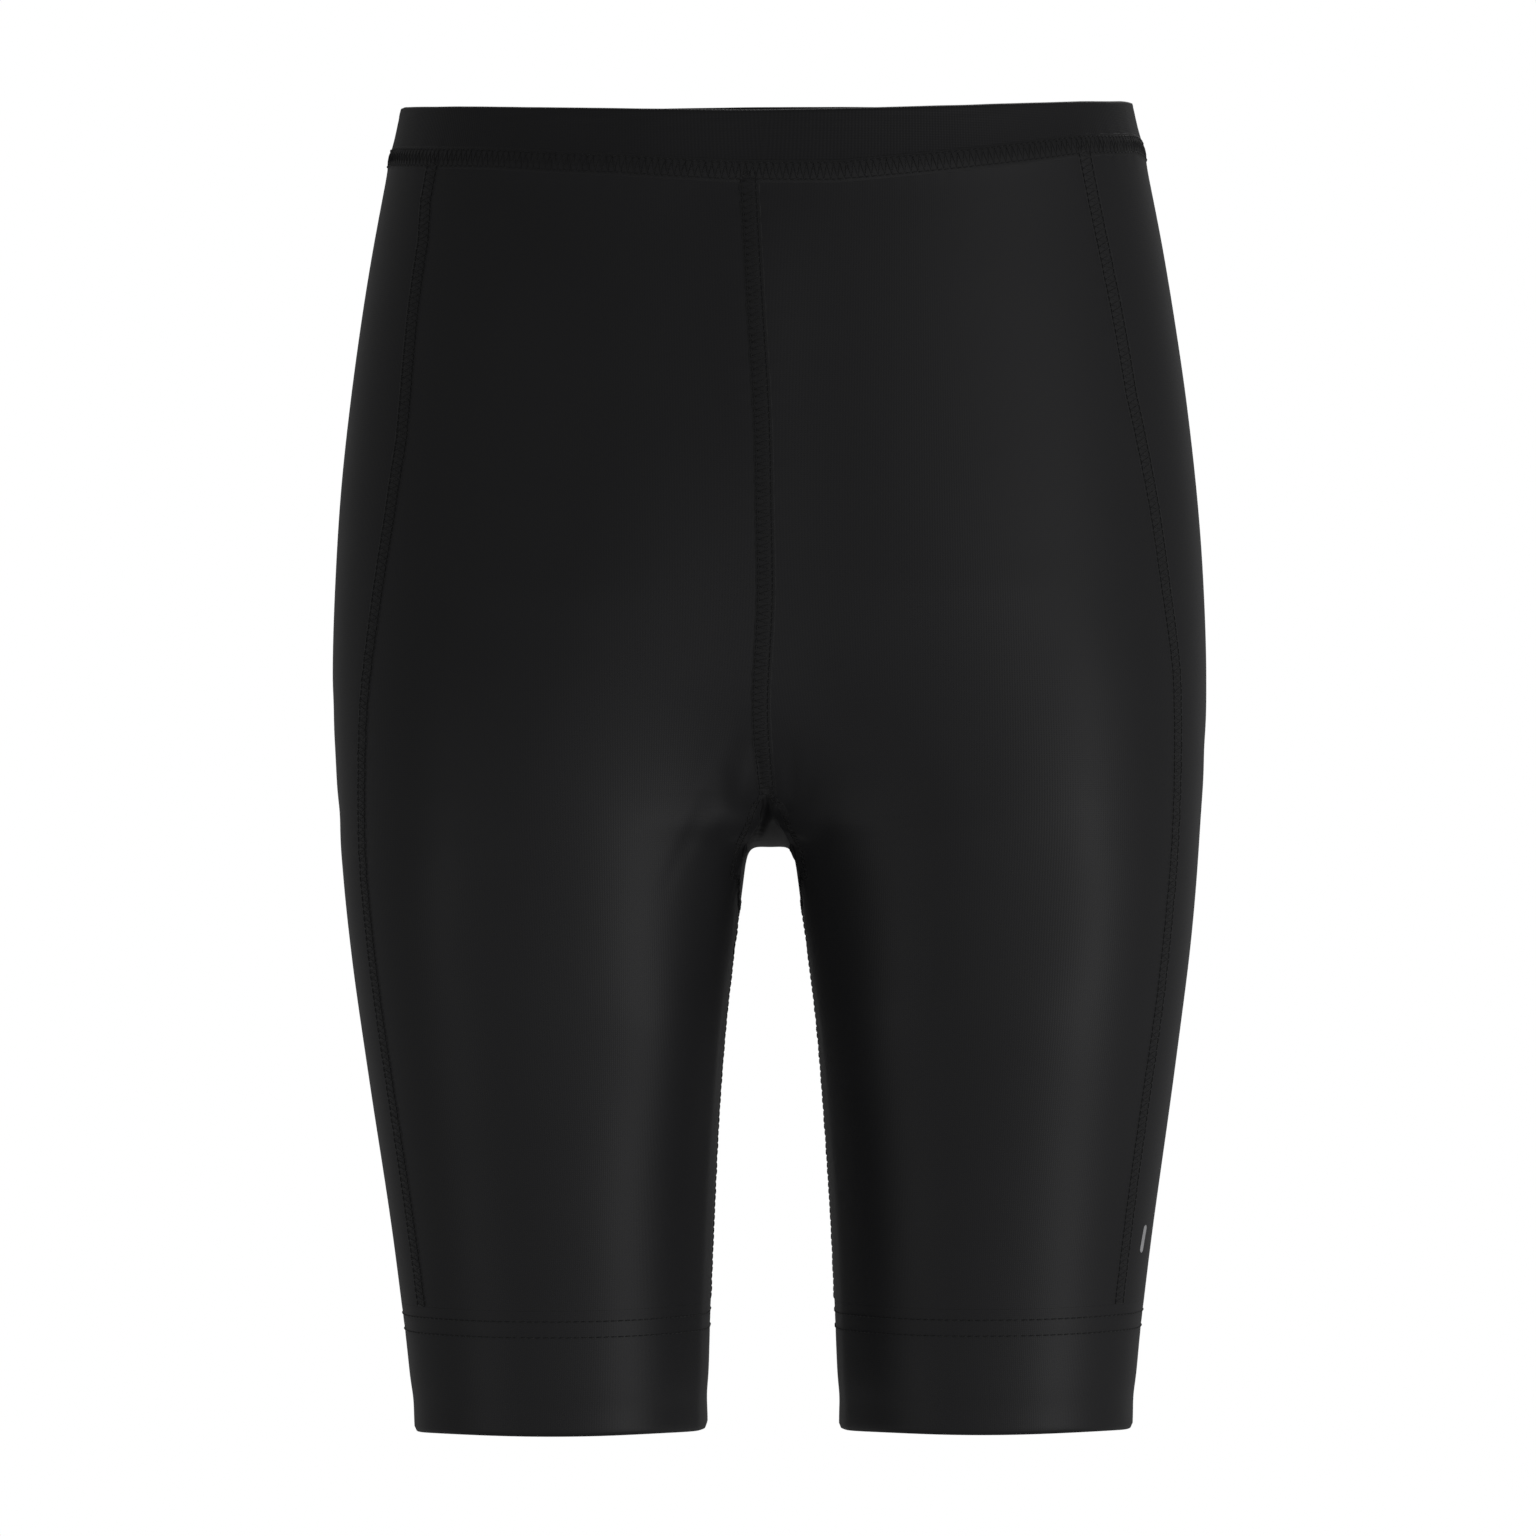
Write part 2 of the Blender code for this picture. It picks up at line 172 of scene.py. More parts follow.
shapeAt = {
    column: curveThrough([row[0] for row in shapeRows[::-1]], [row[n] for row in shapeRows[::-1]])
    for n, column in enumerate(shapeColumns) if n
}


def bezier(start, startPull, endPull, end):
    t = np.linspace(0, 1, lineSteps)[:, None]
    a, b, c, d = (np.array(p, float) for p in (start, startPull, endPull, end))
    return (1 - t) ** 3 * a + 3 * (1 - t) ** 2 * t * b + 3 * (1 - t) * t * t * c + t**3 * d


def section(height, starts, turn):
    # plan outline at a height: centre front, round the side, centre back
    at = {name: float(curve(height)) for name, curve in shapeAt.items()}
    crownX = max(at["crownX"], 0.5)
    heading = math.radians(turn)
    angle = np.linspace(0, math.pi / 2, lineSteps)
    halves = []
    for start, fullY in zip(starts, (at["frontY"], at["backY"])):
        forward = math.copysign(1, fullY)
        reach = leadPull * math.dist(start, (crownX, fullY))
        pull = (start[0] + reach * math.cos(heading), start[1] + reach * forward * math.sin(heading))
        lead = bezier(start, pull, (crownX - reach, fullY), (crownX, fullY))
        x = crownX + (at["width"] - crownX) * np.sin(angle) ** (2 / at["square"])
        y = at["sideY"] + (fullY - at["sideY"]) * np.cos(angle) ** (2 / at["square"])
        halves.append(np.concatenate([lead, np.stack([x, y], axis=1)]))
    return np.concatenate([halves[0], halves[1][::-1]])


def runningLength(line):
    step = np.linalg.norm(np.diff(line, axis=0), axis=1)
    return np.concatenate([[0], np.cumsum(step)])


def pointAlong(line, place):
    steps = np.arange(len(line))
    return tuple(float(np.interp(place, steps, line[:, k])) for k in range(2))


def forwardness(y, height):
    sideY, frontY = float(shapeAt["sideY"](height)), float(shapeAt["frontY"](height))
    share = min(max((sideY - y) / (sideY - frontY), 0), 1)
    return share * share * (3 - 2 * share)


def outerRow(row, starts, endsZ, lift):
    line = section(row["sideZ"], starts, row["turn"])
    run = runningLength(line)
    sideRun, wholeRun = run[2 * lineSteps - 1], run[-1]
    stops = [0, sideRun - row["stripFront"], sideRun + row["stripBack"], wholeRun]
    runs = [0.0]
    for first, last, count in zip(stops, stops[1:], (cells["front"], cells["side"], cells["back"])):
        runs += [first + (last - first) * (k + 1) / count for k in range(count)]
    points = []
    for length in runs:
        inFront = length <= sideRun
        fromCentre = length / sideRun if inFront else (wholeRun - length) / (wholeRun - sideRun)
        place = np.interp(length, run, np.arange(len(run)))
        z = row["sideZ"] + (endsZ[0 if inFront else 1] - row["sideZ"]) * math.cos(fromCentre * math.pi / 2)
        z += lift * forwardness(pointAlong(line, place)[1], row["sideZ"])
        points.append((*pointAlong(section(z, starts, row["turn"]), place), z))
    return points


def outerRows():
    rows = []
    for row in named(trunkColumns, trunkRows):
        starts = (0, row["centreFront"]), (0, row["centreBack"])
        rows.append(outerRow(row, starts, (row["frontZ"], row["backZ"]), 0))
    for row in named(legColumns, legRows):
        starts = (row["seamFrontX"], row["seamFrontY"]), (row["seamBackX"], row["seamBackY"])
        rows.append(outerRow(row, starts, (row["seamFrontZ"], row["seamBackZ"]), row["lift"]))
    return rows


def thighRow(row):
    inseam = (row["innerX"], float(shapeAt["sideY"](row["sideZ"])))
    lines = []
    for end in ("Front", "Back"):
        x, y = row["seam" + end + "X"], row["seam" + end + "Y"]
        reach, forward, slope = thighPull * abs(y - inseam[1]), math.copysign(1, y), math.radians(row["turn"])
        pull = (x - reach * math.cos(slope), y - forward * reach * math.sin(slope))
        lines.append(bezier((x, y), pull, (row["innerX"], inseam[1] + forward * reach), inseam))
    line = np.concatenate([lines[0], lines[1][::-1]])
    run = runningLength(line)
    wanted = np.linspace(0, run[-1], cells["inner"] + 1)
    plan = np.stack([np.interp(wanted, run, line[:, k]) for k in range(2)], axis=1)
    points = []
    for column in range(cells["inner"] + 1):
        across = (column - inseamColumn) / inseamColumn
        seamZ = row["seamFrontZ"] if across < 0 else row["seamBackZ"]
        z = row["innerZ"] + (seamZ - row["innerZ"]) * across**2
        z += row["lift"] * forwardness(plan[column][1], row["sideZ"])
        points.append((*plan[column], z))
    return points[1:-1]


def innerRows():
    gusset = named(gussetColumns, gussetRows)
    centre = [(0, p["y"], p["z"]) for p in gusset]
    turn = [(p["turnX"], p["y"], p["z"] - p["turnDrop"]) for p in gusset]
    thigh = [(p["thighX"], p["y"], p["z"] - p["thighDrop"]) for p in gusset]
    return [centre, turn, thigh] + [thighRow(row) for row in named(legColumns, legRows)[2:]]


def pieceName(row, column, side, inner):
    if not inner and row < waistSeamRow:
        return "waistband"
    if inner and row < gussetRow:
        return "gusset"
    if row >= hemSeamRow:
        return "hem_" + side
    if inner:
        return ("front_" if column < inseamColumn else "back_") + side
    if column < cells["front"]:
        return "front_" + side
    return ("side_" if column < cells["front"] + cells["side"] else "back_") + side


def layOutCage():
    points, number, corners, pieces = [], {}, [], []
    outer, inner = outerRows(), innerRows()

    def corner(key, place):
        if key not in number:
            number[key] = len(points)
            points.append(place)
        return number[key]

    for side, mirror in (("left", 1), ("right", -1)):

        def at(row, column):
            x, y, z = outer[row][column]
            middle = row <= pointRow and column in (0, lastColumn)
            return corner(("middle" if middle else side, row, column), (mirror * x, y, z))

        def within(row, column):
            if column in (0, cells["inner"]):
                return at(row, 0 if column == 0 else lastColumn)
            x, y, z = inner[row - pointRow][column - 1]
            return corner(("crotch" if row == pointRow else side, row, lastColumn + column), (mirror * x, y, z))

        for row in range(lastRow):
            for column in range(lastColumn):
                cell = (at(row, column), at(row + 1, column), at(row + 1, column + 1), at(row, column + 1))
                corners.append(cell[::mirror])
                pieces.append(pieceName(row, column, side, False))
        for row in range(pointRow, lastRow):
            for column in range(cells["inner"]):
                cell = (within(row, column), within(row, column + 1),
                        within(row + 1, column + 1), within(row + 1, column))
                corners.append(cell[::mirror])
                pieces.append(pieceName(row, column, side, True))
    return points, corners, pieces


def fitted(points, corners):
    # cage points whose subdivided surface passes through the given ones
    count = len(points)
    beside, opposite = [set() for _ in range(count)], [[] for _ in range(count)]
    uses = {}
    for cell in corners:
        for k in range(4):
            here, after, across = cell[k], cell[(k + 1) % 4], cell[(k + 2) % 4]
            beside[here].add(after)
            beside[after].add(here)
            opposite[here].append(across)
            edge = (min(here, after), max(here, after))
            uses[edge] = uses.get(edge, 0) + 1
    rim = [[] for _ in range(count)]
    for (a, b), times in uses.items():
        if times == 1:
            rim[a].append(b)
            rim[b].append(a)
    weights = np.zeros((count, count))
    for k in range(count):
        if rim[k]:
            weights[k, k] = 4 / 6
            weights[k, rim[k]] = 1 / 6
            continue
        valence = len(beside[k])
        whole = valence * (valence + 5)
        weights[k, k] = valence**2 / whole
        weights[k, list(beside[k])] = 4 / whole
        for across in opposite[k]:
            weights[k, across] += 1 / whole
    return np.linalg.solve(weights, np.array(points))


def subdivided(points, corners, marks, level):
    mesh = bpy.data.meshes.new("cage")
    mesh.from_pydata([tuple(p) for p in points], [], corners)
    for number in range(max(marks) + 1):
        mesh.materials.append(None)
    mesh.polygons.foreach_set("material_index", marks)
    guide = bpy.data.objects.new("cage", mesh)
    bpy.context.scene.collection.objects.link(guide)
    smoothing = guide.modifiers.new("smoothing", "SUBSURF")
    smoothing.levels = smoothing.render_levels = level
    smoothing.use_limit_surface = True
    bpy.context.view_layer.update()
    worked = guide.evaluated_get(bpy.context.evaluated_depsgraph_get())
    result = worked.to_mesh()
    places = np.zeros(len(result.vertices) * 3)
    result.vertices.foreach_get("co", places)
    faces = np.zeros(len(result.loops), int)
    result.loops.foreach_get("vertex_index", faces)
    shown = np.zeros(len(result.polygons), int)
    result.polygons.foreach_get("material_index", shown)
    worked.to_mesh_clear()
    bpy.data.objects.remove(guide, do_unlink=True)
    return places.reshape(-1, 3), faces.reshape(-1, 4), shown


def treeOf(points):
    tree = KDTree(len(points))
    for k, point in enumerate(points):
        tree.insert(point, k)
    tree.balance()
    return tree


def normalsOf(places, faces):
    a, b, c, d = (places[faces[:, k]] for k in range(4))
    facing = np.cross(c - a, d - b)
    normals = np.zeros_like(places)
    for k in range(4):
        np.add.at(normals, faces[:, k], facing)
    return normals / np.linalg.norm(normals, axis=1)[:, None]


# Where the legs part, the sections change fast, so the surface there is eased, most of all up and down.
easeLook = {"rounds": 40, "top": -180, "bottom": -352, "fade": 26, "side": 128, "sideFade": 26, "gusset": 0.3}


def eased(places, faces, marks, gusset):
    z, x = places[:, 2], abs(places[:, 0])
    share = np.clip((easeLook["top"] - z) / easeLook["fade"], 0, 1)
    share *= np.clip((z - easeLook["bottom"]) / easeLook["fade"], 0, 1)
    share *= np.clip((easeLook["side"] - x) / easeLook["sideFade"], 0, 1)
    share[np.unique(faces[marks == gusset])] *= easeLook["gusset"]
    share = (share * share * (3 - 2 * share))[:, None] * 0.5
    one = faces.ravel()
    two = np.roll(faces, -1, axis=1).ravel()
    beside = np.bincount(one, minlength=len(places))[:, None]

    def smoothed(values):
        for _ in range(easeLook["rounds"]):
            mean = np.stack([np.bincount(one, values[two, k], len(places)) for k in range(3)], axis=1) / beside
            values = values + share * (mean - values)
        return values

    calm = smoothed(places)
    return calm + smoothed(places - calm)    # the second pass gives back the broad form that the first one wore off


points, corners, pieces = layOutCage()
names = sorted(set(pieces))
marks = [names.index(piece) for piece in pieces]
points = fitted(points, corners)
points, corners, marks = subdivided(points, corners, marks, 2)
points = eased(points, corners, marks, names.index("gusset"))
corners, marks = corners.tolist(), marks.tolist()
places, fine, fineMarks = subdivided(points, corners, marks, 2)
coarsePlaces, coarse, coarseMarks = subdivided(points, corners, marks, 1)
placesTree = treeOf(places)
sameAs = np.array([placesTree.find(p)[1] for p in coarsePlaces])
coarse = sameAs[coarse]          # the inner face of the cloth uses every other point of the outer one
print("surface:", len(places), "points,", len(names), "pieces")


# seam lines, from the edges that two pieces share

def sharedEdges():
    owner, shared = {}, {}
    for face, mark in zip(fine.tolist(), fineMarks.tolist()):
        for k in range(4):
            a, b = face[k], face[(k + 1) % 4]
            other = owner.pop((b, a), None)
            if other is None:
                owner[(a, b)] = mark
            elif other != mark:
                pair = frozenset((names[mark], names[other]))
                shared.setdefault(pair, []).append((a, b))
    return shared, list(owner)


def chained(edges):
    # one line of points, from its upper end, or all round if it closes
    beside = {}
    for a, b in edges:
        beside.setdefault(a, []).append(b)
        beside.setdefault(b, []).append(a)
    ends = [k for k, near in beside.items() if len(near) == 1]
    start = max(ends or beside, key=lambda k: places[k][2])
    line, before = [start], None
    while True:
        onward = [k for k in beside[line[-1]] if k != before and k != start]
        if not onward:
            break
        before = line[-1]
        line.append(onward[0])
    return line + [start] if not ends else line


shared, rimEdges = sharedEdges()


def seamPoints(*pairs):
    return chained([edge for pair in pairs for edge in shared[frozenset(pair)]])


seamLines = {
    "centre_front": seamPoints(("front_left", "front_right")),
    "centre_back": seamPoints(("back_left", "back_right")),
    "waist": seamPoints(*[("waistband", name) for name in names if frozenset(("waistband", name)) in shared]),
}
for side in ("left", "right"):
    seamLines["side_front_" + side] = seamPoints(("front_" + side, "side_" + side))
    seamLines["side_back_" + side] = seamPoints(("back_" + side, "side_" + side))
    seamLines["inseam_" + side] = seamPoints(("front_" + side, "back_" + side))
    seamLines["gusset_" + side] = seamPoints(("gusset", "front_" + side), ("gusset", "back_" + side))
    seamLines["hem_" + side] = seamPoints(*[("hem_" + side, kind + side) for kind in ("front_", "side_", "back_")])
print("seams:", {name: len(line) for name, line in seamLines.items()})


# where the cloth leaves its smooth form

# The centre front seam wanders a little across the belly, as on the real pair: height and shift.
seamDrift = {"z": [-263, -231, -208, -186, -163, -118, -96, -19], "x": [0, -2, -0.8, 0.2, 0, -0.8, -2.0, -6.0],
             "reach": 62}
# The waist seam does too, in height, along the front.
waistDrift = {
    "x": [-150, -108, -52, -8, 32, 76, 124, 150],
    "z": [1.2, 2.2, 1.2, -0.8, -1.6, 1.4, 4.6, 3.2],
    "reach": 15,
}
# The front side seams lie nearer the middle on the real pair, as far as is given here by height.
sideDrift = {
    "left": {"z": [-400, -330, -217, -186, -155, -109, -63, -32, 10],
             "x": [-1.0, -1.6, -2.5, -4.2, -5.4, -8.3, -8.1, -7.3, -7.0]},
    "right": {"z": [-400, -280, -228, -201, -155, -125, -109, -78, -47, -32, 10],
              "x": [0, 2.0, 4.6, 6.5, 9.4, 10.4, 9.6, 7.3, 5.4, 2.7, 1.5]},
    "reach": 55,
    "steepest": 0.35,    # keeps the move short where the cloth turns away from the front
    "rimFade": 18,       # and lets it die out towards the open edges
}


# Each crease: which side it is seen from, its points there, how deep and how wide it is. A negative
# depth stands out as a ridge. Front and back give x and z, left, right and inner ones y and z.
creaseLook = {
    "shoulder": 0.25,    # how far the cloth swells beside a crease, as a share of its depth
    "lines": [
        ("front", [(-9.5, -237), (-13, -246), (-19, -257), (-23, -270), (-29, -283), (-32, -293)], 0.55, 3.6),
        ("front", [(-24, -262), (-28, -274), (-35, -290), (-40, -304)], 0.3, 3.2),
        ("front", [(-15, -255), (-17, -264), (-18.5, -273)], 0.5, 2.2),
        ("front", [(-9.5, -251), (-10, -262), (-9.5, -276)], -1.0, 3.2),
        ("front", [(10.5, -244), (9.5, -255), (8.5, -266)], 0.6, 2.2),
        ("front", [(20, -244), (17.5, -257), (14, -271)], 0.45, 3.0),
        ("front", [(6.5, -252), (6, -262), (6.5, -269)], -0.5, 2.0),
        ("front", [(-4.5, -240), (-4, -252), (-2.5, -262)], 0.6, 2.0),
        ("front", [(-2, -263), (-0.8, -270), (-2.5, -275.5), (-5.2, -283)], 2.4, 1.8),
        ("front", [(28, -252), (25, -268), (20, -284), (19, -300)], 0.4, 4.0),
        ("front", [(6, -206), (24, -226), (43, -256), (51, -300)], 0.7, 13),
        ("front", [(-6, -26), (-3, -80), (-1, -130), (0, -178)], -1.1, 15),
        ("back", [(4, -236), (10, -250), (17, -268), (25, -284)], 0.9, 3.6),
        ("back", [(-5, -240), (-12, -256), (-22, -274), (-30, -288)], 0.8, 3.3),
        ("back", [(14, -226), (30, -246), (50, -260)], 0.5, 5.0),
        ("back", [(-16, -232), (-34, -252), (-58, -266)], 0.6, 4.6),
        ("back", [(22, -288), (48, -297), (84, -292)], 0.6, 6.0),
        ("back", [(-20, -290), (-52, -301), (-90, -296)], 0.7, 6.6),
        ("back", [(30, -308), (58, -314), (80, -311)], 0.35, 5.0),
        ("back", [(-9, -250), (-15, -262), (-19, -270)], -0.5, 3.0),
        ("back", [(6, -70), (16, -80), (32, -86)], 0.3, 4.5),
        ("back", [(-7, -98), (-20, -106), (-36, -107)], 0.25, 4.0),
        ("back", [(52, -10), (50, -24), (53, -40)], 0.25, 4.5),
        ("back", [(-38, -8), (-41, -20), (-40, -32)], 0.3, 4.0),
        ("innerLeft", [(-38, -300), (-22, -314), (4, -326)], 0.6, 4.0),
        ("innerLeft", [(24, -304), (34, -322), (36, -344)], 0.5, 4.2),
        ("innerRight", [(-36, -306), (-16, -322), (8, -330)], 0.55, 3.6),
        ("innerRight", [(20, -300), (32, -316), (38, -336)], 0.6, 4.4),
        ("left", [(-34, -236), (-4, -248), (30, -244)], 0.25, 8.0),
        ("right", [(-36, -262), (-6, -274), (28, -268)], 0.3, 7.0),
        ("right", [(-20, -226), (8, -232), (34, -229)], 0.2, 6.0),
    ],
}
lookedFrom = {    # where each side is seen from: the axis along the look, its way, and the axis of the first number
    "front": ((0, 1, 0), "x", -400), "back": ((0, -1, 0), "x", 400),
    "left": ((-1, 0, 0), "y", 400), "right": ((1, 0, 0), "y", -400),
    "innerLeft": ((1, 0, 0), "y", 0), "innerRight": ((-1, 0, 0), "y", 0),
}

puckerLook = {"height": 0.13, "wave": 9.5, "reach": 6.5, "pull": 0.15, "pullReach": 6.0}
driftLook = {"height": 0.30, "size": 55}
waistLook = {"cinch": 0.20, "cinchReach": 6, "bulge": 0.45, "bulgeReach": 6.0, "ripple": 0.12}
hemLook = {"tuck": 0.08, "bulge": 0.0, "bulgeReach": 12, "rows": (4.4, 10.7), "rowDepth": 0.08, "rowReach": 1.8,
           "pinchZ": -505, "pinch": 0.35, "pinchReach": 6, "flare": 0.35, "flareReach": 7}


def sideSeamsMoved(places):
    normals = normalsOf(places, fine)
    form = BVHTree.FromPolygons([tuple(p) for p in places], fine.tolist())
    rim = treeOf(places[sorted({k for edge in rimEdges for k in edge})])
    moved = places.copy()
    for side, way in (("left", 1), ("right", -1)):
        seam = places[seamLines["side_front_" + side]]
        seam = seam[seam[:, 2].argsort()]
        near = np.where((places[:, 0] * way > 0) & (places[:, 1] < 40))[0]
        x, y, z = places[near].T
        gap = np.hypot(x - np.interp(z, seam[:, 2], seam[:, 0]), y - np.interp(z, seam[:, 2], seam[:, 1]))
        shift = np.interp(z, sideDrift[side]["z"], sideDrift[side]["x"]) * np.exp(-((gap / sideDrift["reach"]) ** 2))
        toRim = np.array([rim.find(point)[2] for point in places[near]])
        shift *= np.clip(toRim / sideDrift["rimFade"], 0, 1)
        moved[near, 0] += shift
        moved[near, 1] += shift * normals[near, 0] / np.maximum(-normals[near, 1], sideDrift["steepest"])
        for k in near[abs(shift) > 0.001]:    # back onto the form, so that the seam moves and not the shape
            moved[k] = form.find_nearest(tuple(moved[k]))[0]
    return moved


def wandered(places):
    drift = curveThrough(seamDrift["z"], seamDrift["x"])
    moved = places.copy()
    near = (places[:, 1] < 0) & (abs(places[:, 0]) < 3 * seamDrift["reach"])
    z = np.clip(places[near, 2], seamDrift["z"][0], seamDrift["z"][-1])
    shift = np.array([drift(height) for height in z])
    moved[near, 0] += shift * np.exp(-((places[near, 0] / seamDrift["reach"]) ** 2))
    seam = places[[k for k in seamLines["waist"] if places[k, 1] < 5]]
    seam = seam[seam[:, 0].argsort()]
    near = (places[:, 1] < 0) & (places[:, 2] > -60)
    lift = np.interp(places[near, 0], waistDrift["x"], waistDrift["z"])
    gap = places[near, 2] - np.interp(places[near, 0], seam[:, 0], seam[:, 2])
    front = np.clip(-places[near, 1] / 30, 0, 1)
    moved[near, 2] += lift * front * np.exp(-((gap / waistDrift["reach"]) ** 2))
    return moved


def creaseDrop(places, faces):
    surface = BVHTree.FromPolygons([tuple(p) for p in places], faces.tolist())
    drop = np.zeros(len(places))
    for number, (side, sketch, depth, width) in enumerate(creaseLook["lines"]):
        look, axis, start = lookedFrom[side]
        knots = np.arange(len(sketch))
        across, height = (curveThrough(knots, [p[k] for p in sketch]) for k in range(2))
        line = []
        for at in np.linspace(0, knots[-1], 36):
            origin = (across(at), start, height(at)) if axis == "x" else (start, across(at), height(at))
            hit = surface.ray_cast(origin, look)[0]
            if hit is not None:
                line.append(tuple(hit))
        line = np.array(line)
        reach = 3.2 * width
        near = np.where(((places > line.min(0) - reach) & (places < line.max(0) + reach)).all(1))[0]
        gap = np.linalg.norm(places[near][:, None] - line[None], axis=2)
        along = gap.argmin(1) / (len(line) - 1)
        gap = gap.min(1)
        taper = np.sin(np.pi * np.clip(along, 0.02, 0.98)) ** 0.8 * (1 + 0.22 * np.sin(5 * along + 1.7 * number))
        form = np.exp(-((gap / width) ** 2))
        form -= creaseLook["shoulder"] * np.exp(-(((gap - 1.9 * width) / width) ** 2))
        drop[near] += depth * taper * form
    return drop


def seamRelief(places):
    # puckers across the panel seams, and the slight pull of their stitches
    spots, runs, phases = [], [], []
    for number, (name, line) in enumerate(seamLines.items()):
        if name.startswith("hem"):
            continue
        spots += list(places[line])
        runs += list(runningLength(places[line]))
        phases += [11.3 * number] * len(line)
    tree = treeOf(spots)
    relief = np.zeros(len(places))
    for k, point in enumerate(places):
        _, spot, gap = tree.find(point)
        if gap > 20:
            continue
        run, phase = runs[spot], phases[spot]
        uneven = noise.noise((run / 23, phase, 0))
        wave = math.cos(2 * math.pi * run / puckerLook["wave"] + 3.0 * noise.noise((run / 15, phase, 7)))
        relief[k] += puckerLook["height"] * (0.6 + uneven) * wave * math.exp(-((gap / puckerLook["reach"]) ** 2))
        relief[k] -= puckerLook["pull"] * math.exp(-((gap / puckerLook["pullReach"]) ** 2))
    return relief


def gapTo(line, places, limit):
    tree = treeOf(places[line])
    return np.array([min(tree.find(point)[2], limit) for point in places])


def ringRelief(places):
    # the waistband sits in a little over a swell of seam, and each leg band does and flares at its edge
    owner = np.zeros(len(places), int)
    owner[fine.ravel()] = np.repeat(fineMarks, 4)
    relief = np.zeros(len(places))
    toWaist = gapTo(seamLines["waist"], places, 60)
    band = owner == names.index("waistband")
    relief[band] -= waistLook["cinch"] * (1 - np.exp(-((toWaist[band] / waistLook["cinchReach"]) ** 2)))
    relief += waistLook["bulge"] * np.exp(-((toWaist / waistLook["bulgeReach"]) ** 2))
    for k in np.where(band)[0]:
        x, y, z = places[k]
        top = math.exp(-(((toWaist[k] - 19) / 4) ** 2))
        relief[k] += waistLook["ripple"] * top * noise.noise((x / 16, y / 16, z / 2.5))
    for side in ("left", "right"):
        hem = owner == names.index("hem_" + side)
        toHem = gapTo(seamLines["hem_" + side], places, 60)
        above = ~hem & (toHem < 30)
        relief[above] += hemLook["bulge"] * np.exp(-((toHem[above] / hemLook["bulgeReach"]) ** 2))
        relief[hem] += hemLook["bulge"] - hemLook["tuck"] * (1 - np.exp(-((toHem[hem] / 9) ** 2)))
        for row in hemLook["rows"]:
            relief[hem] -= hemLook["rowDepth"] * np.exp(-(((toHem[hem] - row) / hemLook["rowReach"]) ** 2))
        z = places[hem, 2]
        relief[hem] -= hemLook["pinch"] * np.exp(-(((z - hemLook["pinchZ"]) / hemLook["pinchReach"]) ** 2))
        relief[hem] += hemLook["flare"] * np.exp(-(((z + 519) / hemLook["flareReach"]) ** 2))
    return relief


places = wandered(sideSeamsMoved(places))
normals = normalsOf(places, fine)
relief = seamRelief(places) + ringRelief(places) - creaseDrop(places, fine)
relief += driftLook["height"] * np.array([noise.noise(tuple(p / driftLook["size"])) for p in places])
cloth = places + normals * relief[:, None]
normals = normalsOf(cloth, fine)
clothTree = BVHTree.FromPolygons([tuple(p) for p in cloth], fine.tolist())
print("creases:", len(creaseLook["lines"]), "relief from %.2f to %.2f mm" % (relief.min(), relief.max()))


# finishes

class Socket:
    # a value in a material, so that its sums read as plain Python
    def __init__(self, nodes, link):
        self.nodes, self.link = nodes, link

    def maths(self, operation, *values):
        return self.nodes.add("ShaderNodeMath", {"operation": operation}, dict(enumerate(values)))

    def __add__(self, other):
        return self.maths("ADD", self, other)

    def __radd__(self, other):
        return self.maths("ADD", other, self)

    def __sub__(self, other):
        return self.maths("SUBTRACT", self, other)

    def __rsub__(self, other):
        return self.maths("SUBTRACT", other, self)

    def __mul__(self, other):
        return self.maths("MULTIPLY", self, other)

    def __rmul__(self, other):
        return self.maths("MULTIPLY", other, self)

    def wave(self):
        return self.maths("COSINE", self * (2 * math.pi))

    def zigzag(self):
        return self.maths("PINGPONG", self, 0.5) * 2


class Nodes:
    def __init__(self, tree):
        self.tree = tree

    def add(self, kind, settings, values, out=0):
        node = self.tree.nodes.new(kind)
        for name, value in settings.items():
            setattr(node, name, value)
        self.fill(node, values)
        return Socket(self, node.outputs[out])

    def fill(self, node, values):
        for name, value in values.items():
            if isinstance(value, Socket):
                self.tree.links.new(value.link, node.inputs[name])
            else:
                node.inputs[name].default_value = value

    def blend(self, factor, first, second):
        return self.add("ShaderNodeMix", {"data_type": "RGBA"}, {0: factor, 6: (*first, 1), 7: (*second, 1)}, out=2)

    def clouds(self, size, detail=2.0):
        where = self.add("ShaderNodeTexCoord", {}, {}, out=3)
        return self.add("ShaderNodeTexNoise", {}, {"Vector": where, "Scale": 1 / size, "Detail": detail})

    def grain(self, layer):
        where = self.add("ShaderNodeUVMap", {"uv_map": layer}, {})
        return tuple(self.add("ShaderNodeSeparateXYZ", {}, {0: where}, out=k) for k in range(2))

    def bump(self, height, strength, distance):
        return self.add("ShaderNodeBump", {}, {"Strength": strength, "Distance": distance, "Height": height})


def startFinish(name, steady):
    material = bpy.data.materials.new(name)
    material.use_nodes = True
    nodes = Nodes(material.node_tree)
    shader = material.node_tree.nodes["Principled BSDF"]
    nodes.fill(shader, steady)
    return material, nodes, shader


jerseyLook = {
    "dark": (0.0105, 0.0105, 0.0115), "light": (0.0160, 0.0160, 0.0172),
    "roughness": 0.50, "uneven": 0.10,
    "wale": 0.0009, "course": 0.0008,      # a column and a row of the knit
    "bump": 0.22, "depth": 0.00009,
    "steady": {"Specular IOR Level": 0.24, "Sheen Weight": 0.06, "Sheen Roughness": 0.40},
}


